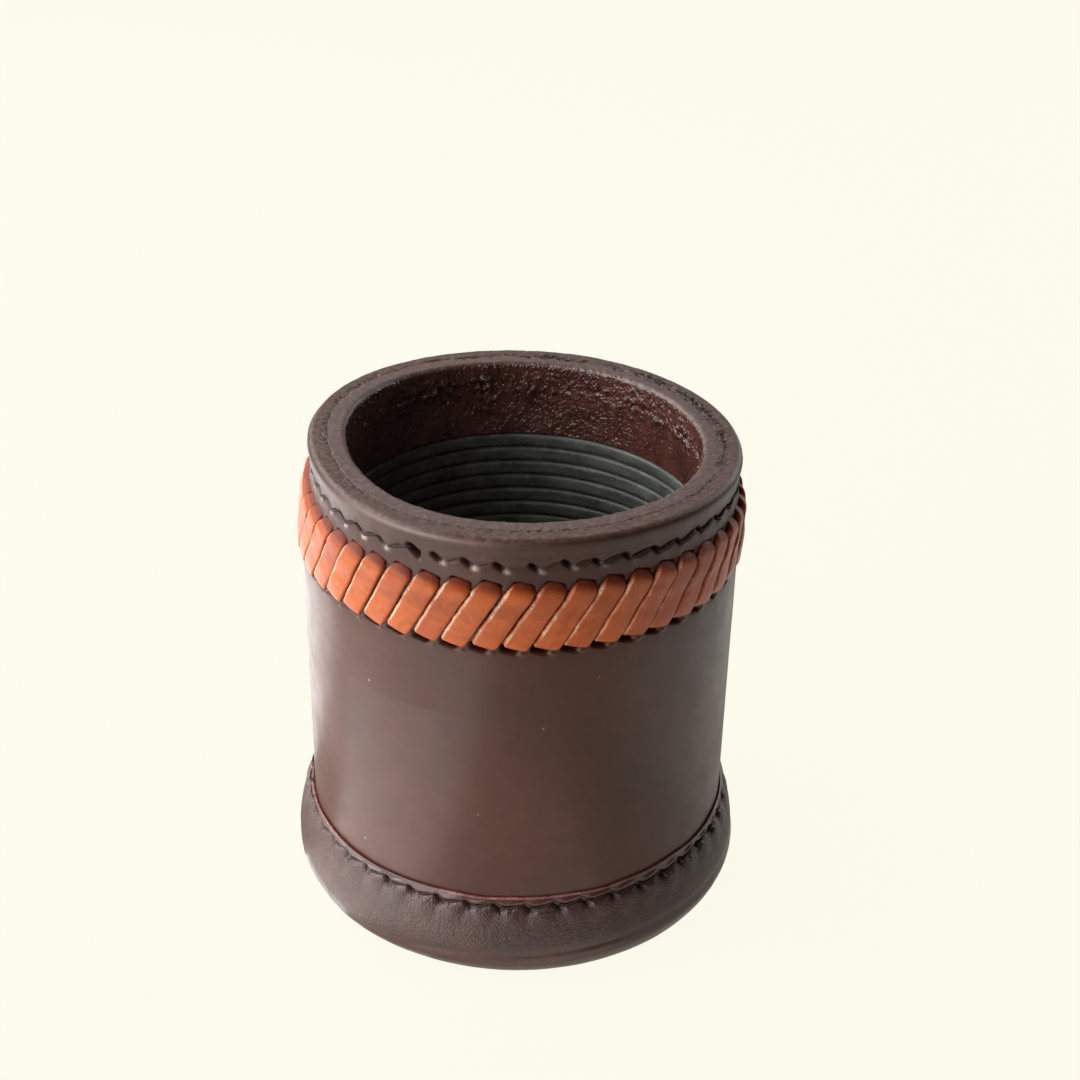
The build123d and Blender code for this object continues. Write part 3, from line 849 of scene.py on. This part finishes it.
def foot_relief(turn, radius, height, out, up):
    outside = held(out) * (radius > cover_bore + 0.1)
    lift, pit_shade, _ = foot_row.relief(turn, height, groove=0.5, lip=0.42, pull=0.3, puff=0.24)
    index, across, above = foot_row.nearest(turn, height)
    below = np.maximum(-above, 0)
    fan_angle = np.arctan2(across, below + 0.9)
    ridges = (0.5 + 0.5 * np.cos(9 * fan_angle + foot_row.fan[index])) ** 2
    gathers = -0.22 * ridges * np.exp(-below / 3.4) * (1 - np.exp(-below / 0.5)) * hump(across, 2.3)
    share, _, thread = foot_row.thread_height(turn)
    pillows = 0.34 * np.sin(pi * share) ** 2 * hump(height - thread + 2.1, 1.5)
    ripples = -0.05 * creases(turn, height, 1.3, 62, 5) * smooth(9, 13, height) * smooth(18, 15, height)
    off_crease = height - crease_height(turn)
    crease = -0.36 * hump(off_crease, 0.8) * (0.75 + 0.25 * noise_round(turn, 9, 63))
    crease = crease * (0.45 + 0.55 * smooth(-0.9, -0.55, np.sin(turn)) * smooth(0.85, 0.6, np.sin(turn)))
    roll = 0.22 * hump(off_crease + 2.0, 1.4)
    lumps = 0.10 * layered(turn, height, 9, 64) + 0.04 * layered(turn, height, 2.5, 65)
    lean = -0.15 * np.sin(turn) * smooth(4, 9, height)
    under = held(-up) * smooth(46, 42, radius)
    pleats = 0.16 * creases(turn, radius, 2.2, 66, 4) * under
    side = lift * smooth(14.5, 16, height) + gathers + pillows + ripples + crease + roll + lumps + lean
    side = side - 0.25 * seam(turn, 180, 0.3)
    where = np.degrees(turn_from(turn, 0))
    bright = smooth(-21, -16, where) * smooth(30, 20, where) + 0.35 * smooth(20, 30, where)
    bright = held(0.06 + bright + 0.6 * smooth(-48, -56, where)) * (0.8 + 0.2 * noise_round(turn, 2, 69))
    raw = smooth(cover_top - 0.3, cover_top - 0.2, height) * bright
    tucked = smooth(-50, -44, where) * smooth(-15, -19, where)
    # The slit mark is painted shade; it also darkens the top edge where it is tucked in at the front left.
    pit_shade = np.maximum(pit_shade, 0.75 * (tucked * smooth(cover_top - 0.5, cover_top - 0.3, height)))
    grain = smooth(-0.8, 1.6, off_crease) * smooth(20.5, 17, height)
    return side * outside - pleats, {"pit_shade": pit_shade * outside, "raw": raw, "grain": grain}


def foot_drift(turn, radius, height):
    """The top edge is wavy and gapes at the sides. Below, the foot stands forward and clears the sole."""
    edge = smooth(FOOT_STITCH_HEIGHT + 0.4, cover_top, height)
    off_side = np.cos(turn - radians(88)) ** 2
    gape = 0.25 * edge * off_side**2 * (0.7 + 0.6 * noise_round(turn, 12, 67))
    wave = edge * (0.9 * np.cos(turn) + 0.5 * np.sin(turn) - 1.35 + 0.25 * noise_round(turn, 6, 68))
    forward = 0.35 * np.cos(turn) * smooth(16, 9, height)
    clear = 0.3 * smooth(5, 1, height) * smooth(sole_radius + 0.3, sole_radius + 2, radius)
    return gape + forward, wave + clear


def build_foot():
    corner = (foot_radius - FOOT_CORNER, swell_height)
    swell = (foot_radius - swell_arc, swell_height)
    inner_arc, inner_corner = swell_arc - COVER_THICKNESS, FOOT_CORNER - COVER_THICKNESS
    top_angle = np.degrees(np.arcsin(swell_rise / swell_arc))
    inner_angle = np.degrees(np.arccos((cover_bore - swell[0]) / inner_arc))
    inner_top = swell_height + inner_arc * sin(radians(inner_angle))
    edge, hem = 0.2, cover_bore + SKIVED_EDGE
    outline = line((TURN_IN_RADIUS, cover_bottom), (corner[0], cover_bottom), 0.9)
    outline += arc(corner, FOOT_CORNER, -90, 0, 30)
    outline += arc(swell, swell_arc, 0, top_angle, 34)
    skived = (cover_radius - 0.1, FOOT_STITCH_HEIGHT + 0.8, 0.22), (hem, cover_top - edge, 0.22)
    outline += lines((cover_radius, COVER_STRAIGHT_BOTTOM), *skived)
    outline += arc((hem - edge, cover_top - edge), edge, 0, 90, 3)
    outline += lines((hem - edge, cover_top), (cover_bore, cover_top, 0.2), (cover_bore, inner_top, 0.9))
    outline += arc(swell, inner_arc, inner_angle, 0, 4)
    outline += arc(corner, inner_corner, 0, -90, 6)
    margin = (TURN_IN_RADIUS, cover_floor, 3), (TURN_IN_RADIUS, cover_bottom, 0.7)
    outline += lines((corner[0], cover_floor), *margin)
    return ring("foot_leather", outline, STITCH_COUNT * 18, foot_relief, foot_leather(), foot_drift)


# --- Sole ---
def build_sole():
    """A disc that closes the bottom, with its edges rubbed round."""
    edge = 0.35
    flat = sole_radius - edge
    rings = [(sole_radius * k / 16, 0.0) for k in range(1, 16)]
    rings += [(flat + edge * sin(radians(a)), edge - edge * cos(radians(a))) for a in (0, 30, 60, 90)]
    rings += [(sole_radius, sole_top - 0.1), (sole_radius - 0.2, sole_top)]
    rings += [(sole_radius * k / 4, sole_top) for k in (3, 2, 1)]
    radius, height = np.hsplit(np.array(rings), 2)
    columns = 240
    turn = np.arange(columns)[None, :] * FULL_TURN / columns
    radius = radius + 0.12 * noise_round(turn, 8, 71) * (radius > sole_radius - 1)
    height = height + 0.12 * smooth(sole_radius, sole_radius - 12, radius) * (height < edge)
    points = out_of_round(turn, radius, height).reshape(-1, 3)
    faces = grid_faces(len(rings), columns, False)
    bottom, top = len(points), len(points) + 1
    points = np.vstack([points, [[0, 0, 0.12 * MM], [0, 0, sole_top * MM]]])
    last = (len(rings) - 1) * columns
    faces += [[bottom, (j + 1) % columns, j] for j in range(columns)]
    faces += [[top, last + j, last + (j + 1) % columns] for j in range(columns)]
    worn = smooth(sole_radius - 2.5, sole_radius - 0.5, radius) * (0.5 + 0.5 * noise(turn, radius, 3, 72))
    marks = {"worn": np.append(np.broadcast_to(worn, radius.shape).ravel(), [0, 0])}
    return mesh_piece("sole_leather", points, faces, marks, sole_leather())


# --- Lace ---
# Cross-section of a strip, from its left edge round by the bottom: across in half widths, out in half
# thicknesses, how much the pale cut edge shows, and how much paler its upper corner is where it is frayed.
LACE_SECTION = (
    (-1.0, -0.7, 0.2, 0), (-0.97, -0.95, 0.1, 0), (-0.45, -1.0, 0, 0), (0.45, -1.0, 0, 0),
    (0.97, -0.95, 0.1, 0), (1.0, -0.6, 0.2, 0), (1.0, 0.3, 0.2, 0), (0.975, 0.7, 0, 0),
    (0.93, 0.92, 0, 0), (0.8, 1.02, 0, 0), (0.6, 1.07, 0, 0), (0.4, 1.1, 0, 0), (0.2, 1.12, 0, 0),
    (0.0, 1.13, 0, 0), (-0.2, 1.12, 0, 0), (-0.4, 1.1, 0, 0), (-0.55, 1.08, 0, 0), (-0.7, 1.05, 0, 0),
    (-0.75, 1.03, 0, 0.9), (-0.81, 0.99, 0.4, 1.0), (-0.85, 0.89, 1.0, 0), (-0.92, 0.52, 1.0, 0),
    (-0.97, 0.0, 0.7, 0),
)


def leather_under_lace(height):
    """Radius of the wall and of the collar above it."""
    return wall_radius + (collar_radius - wall_radius) * smooth(wall_top - 2, collar_bottom + 2, height)


def build_lace():
    """Flat strips that come out of the lower slots, lean over to the right and dive into the upper ones."""
    rng = np.random.default_rng(81)
    side, face, edge, corner = np.array(LACE_SECTION).T
    lean = radians(LACE_SWEEP) * lace_radius
    rise = LACE_HIGH - LACE_LOW
    length = hypot(lean, rise)
    slant = np.arctan2(lean, rise)
    strips, marks = [], {"tone_and_shade": [], "cut": [], "pit_shade": [], "shiny": []}
    for k in range(LACE_COUNT):
        middle = LACE_THICKNESS / 2 + rng.uniform(0.0, 0.08)
        belly = rng.uniform(0.05, 0.18)
        shoulder = rng.uniform(0.1, 0.3)
        knots = [(0.25, -2.2), (0.05, -1.2), (-0.02, -0.45), (0.18, 0.1), (0.9, 0.42)]
        raised = middle + belly
        knots += [(length * 0.3, raised), (length * 0.5, middle + belly * 1.3), (length * 0.7, raised)]
        knots += [(length - 2.4, middle + shoulder), (length - 1.3, 0.36 + shoulder), (length - 0.55, -0.15)]
        knots += [(length - 0.05, -1.0), (length - 0.1, -2.2)]
        route = curve_through(knots, 54)
        along, out = route[:, :1], route[:, 1:]
        slope = np.arctan2(np.gradient(out, axis=0), np.gradient(along, axis=0))
        done = held(along / length)
        bulge = np.sin(done * pi)
        width = (LOWER_WIDTH + (UPPER_WIDTH - LOWER_WIDTH) * done) * rng.uniform(0.975, 1.015)
        ahead = length - along
        sunk = 0.7 * smooth(0.0, -1.2, out)
        left = width / 2 - 0.4 * smooth(2.2, -0.4, ahead) - 0.15 * smooth(0.8, 0.0, along) - sunk
        right = width / 2 - 0.35 * smooth(0.9, 0.0, ahead) - 0.3 * smooth(0.8, 0.0, along) - sunk
        drift = rng.uniform(-0.1, 0.1) * bulge
        thick = LACE_THICKNESS / 2 * rng.uniform(0.92, 1.08)
        ragged = np.interp(along, np.linspace(0, length, 30), rng.uniform(-0.11, 0.11, 30))
        across = np.where(side < 0, left + ragged, right) * side + drift
        high = thick * face - 0.12 * side * bulge - 0.2 * smooth(1.6, 0.2, ahead) * side**2
        off_crease = side - rng.uniform(-0.5, 0.5) - rng.uniform(-0.5, 0.5) * (done - 0.5)
        crease = rng.uniform(0.0, 1.0) ** 2 * hump(off_crease, 0.16) * bulge
        sway = np.sin(FULL_TURN * along / rng.uniform(5, 8) + rng.uniform(0, FULL_TURN))
        high = np.where(face > 0.9, high + 0.05 * sway * (1 - 0.5 * side) - 0.16 * crease, high)
        sideways = along * sin(slant) + across
        upwards = along * cos(slant) - high * np.sin(slope) - LACE_SKEW * across
        height = LACE_LOW + upwards + rng.uniform(-0.12, 0.12)
        start = LACE_PHASE - LACE_SWEEP / 2 + k * 360 / LACE_COUNT
        turn = np.radians(start + rng.uniform(-0.2, 0.2)) + sideways / lace_radius
        radius = leather_under_lace(height) + out + high * np.cos(slope)
        strips.append(out_of_round(turn, radius, height))

        start = radians(start)
        # The pale cut edge shows most on strips 18 degrees left of the front, and fades to a fifth of that
        # further round.
        edge_paleness = (0.2 + 0.8 * hump(turn_from(start, -18), 0.75)) * rng.uniform(0.7, 1.0)
        frayed = hump(turn_from(start, -40), 0.65)
        patches = np.interp(along, np.linspace(0, length, 20), rng.uniform(0.2, 1.35, 20)) ** 1.5
        # Painted shade: strips on the right side of the cup, away from the light, get a darker colour; so do
        # the hollows of a strip's waves and its crease.
        shade_at_right = 0.5 * smooth(0.2, 0.75, np.sin(start))
        values = {
            "tone_and_shade": rng.uniform(0.25, 0.85) - shade_at_right + 0.12 * sway - 0.5 * crease,
            "cut": held((edge * edge_paleness + corner * frayed) * patches),
            # Painted shade where a strip dives into its slots.
            "pit_shade": np.where(along > length / 2, smooth(0.95, 0.1, out), smooth(0.15, -0.7, out)),
            "shiny": hump(along - length + 1.6, 0.5) * smooth(0.2, -0.4, np.sin(start)),
        }
        for mark, value in values.items():
            marks[mark].append(np.broadcast_to(value, across.shape))
    return tubes_piece("lace_strips", strips, marks, lace_leather())


# --- Put the pieces together ---
def assemble(piece, node):
    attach(piece, "root")
    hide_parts(node)


thread = thread_cord()
assemble(build_body(), "body_wall")
assemble(build_collar(), "collar_band")
assemble(build_lining(), "rim_lining")
assemble(build_liner(), "ribbed_liner")
assemble(build_floor(), "floor_pad")
assemble(build_foot(), "foot_cover")
assemble(build_sole(), "sole_disc")
assemble(build_lace(), "lace")
assemble(rim_row.threads("rim_threads", rim_thread_radius, thread), "collar_thread")
assemble(foot_row.threads("foot_threads", foot_thread_radius, thread), "foot_thread")

# Two hidden CAD nodes keep their own shape, with a better material.
for node, material in (("base_board", fibre_board()), ("foot_packing", felt())):
    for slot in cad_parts[node].material_slots:
        slot.material = material


# --- Studio: pale floor, soft light from the left and the camera ---
CREAM = (0.973, 0.956, 0.846, 1)
SEEN_GLOW = 0.985


def seen_or_lighting(tree, seen, lighting, socket):
    """Gives a socket one value where the camera sees it, and another for the light that it sheds."""
    choice = tree.nodes.new("ShaderNodeMapRange")
    choice.inputs["To Min"].default_value = lighting
    choice.inputs["To Max"].default_value = seen
    tree.links.new(tree.nodes.new("ShaderNodeLightPath").outputs["Is Camera Ray"], choice.inputs["Value"])
    tree.links.new(choice.outputs["Result"], socket)


def build_studio_floor():
    """A cream floor that glows evenly to the camera, and half as much to the cup that stands on it."""
    material = bpy.data.materials.new("studio_floor")
    material.use_nodes = True
    sockets = material.node_tree.nodes["Principled BSDF"].inputs
    sockets["Base Color"].default_value = (0.02, 0.0195, 0.018, 1)
    sockets["Roughness"].default_value = 1.0
    sockets["Specular IOR Level"].default_value = 0.0
    sockets["Emission Color"].default_value = CREAM
    seen_or_lighting(material.node_tree, SEEN_GLOW, 0.5, sockets["Emission Strength"])
    corners = 4.0 * np.array([(-1, -1, 0), (1, -1, 0), (1, 1, 0), (-1, 1, 0)])
    floor = mesh_piece("studio_floor", corners, [(0, 1, 2, 3)], {}, material)


def at_turn(turn, out, up):
    """A place in metres, this far out from the cup's axis at a turn in degrees."""
    return Vector((out * sin(radians(turn)), -out * cos(radians(turn)), up))


def soft_box(name, place, target, size, power):
    """A square soft box at a place in metres, turned to its target."""
    data = bpy.data.lights.new(name, "AREA")
    data.shape = "SQUARE"
    data.size = size
    data.energy = power
    light = bpy.data.objects.new(name, data)
    light.location = place
    light.rotation_euler = (target - place).to_track_quat("-Z", "Y").to_euler()
    light.visible_camera = False
    bpy.context.scene.collection.objects.link(light)


def build_studio():
    bpy.context.scene.view_settings.view_transform = "Standard"
    world = bpy.data.worlds.new("studio")
    bpy.context.scene.world = world
    world.use_nodes = True
    backdrop = world.node_tree.nodes["Background"]
    backdrop.inputs["Color"].default_value = CREAM
    seen_or_lighting(world.node_tree, SEEN_GLOW, 0.03, backdrop.inputs["Strength"])
    build_studio_floor()
    boxes = [("left_high", -90, 45, 4.6), ("left_low", -90, 12, 3.1), ("front_left", -45, 12, 2.7)]
    boxes += [("front_left_high", -45, 45, 1.4), ("back_left", -135, 30, 2.9)]
    boxes += [("back_right", 135, 20, 1.6), ("back_high", 180, 35, 0.65)]
    distance, low = 0.8, 0.05
    for name, turn, elevation, power in boxes:
        place = at_turn(turn, distance * cos(radians(elevation)), low + distance * sin(radians(elevation)))
        soft_box(name, place, Vector((0, 0, low)), 0.5, power)
    cards = [(-51, 0.19, 0.22, 0.24), (-90, 0.19, 0.22, 0.12), (-135, 0.19, 0.22, 0.25)]
    cards += [(90, 0.19, 0.22, 0.04), (-40, 0.09, 0.08, 0.004), (-2, 0.09, 0.08, 0.007)]
    for turn, out, size, power in cards:
        place = at_turn(turn, out, 0.001)
        soft_box("bounce_card", place, place + Vector((0, 0, 1)), size, power)


def build_camera():
    """Long lens, looking down on the cup at 30 degrees and turned about one degree off level."""
    elevation, roll = radians(30.066), radians(1.167)
    data = bpy.data.cameras.new("camera")
    data.sensor_width = 36.0
    data.lens = 61.32
    data.clip_start = 0.01
    camera = bpy.data.objects.new("camera", data)
    tilt = Matrix.Rotation(pi / 2 - elevation, 4, "X") @ Matrix.Rotation(roll, 4, "Z")
    camera.matrix_world = Matrix.Translation(Vector((3.97, -324.15, 264.83)) * MM) @ tilt
    bpy.context.scene.collection.objects.link(camera)
    bpy.context.scene.camera = camera


build_studio()
build_camera()
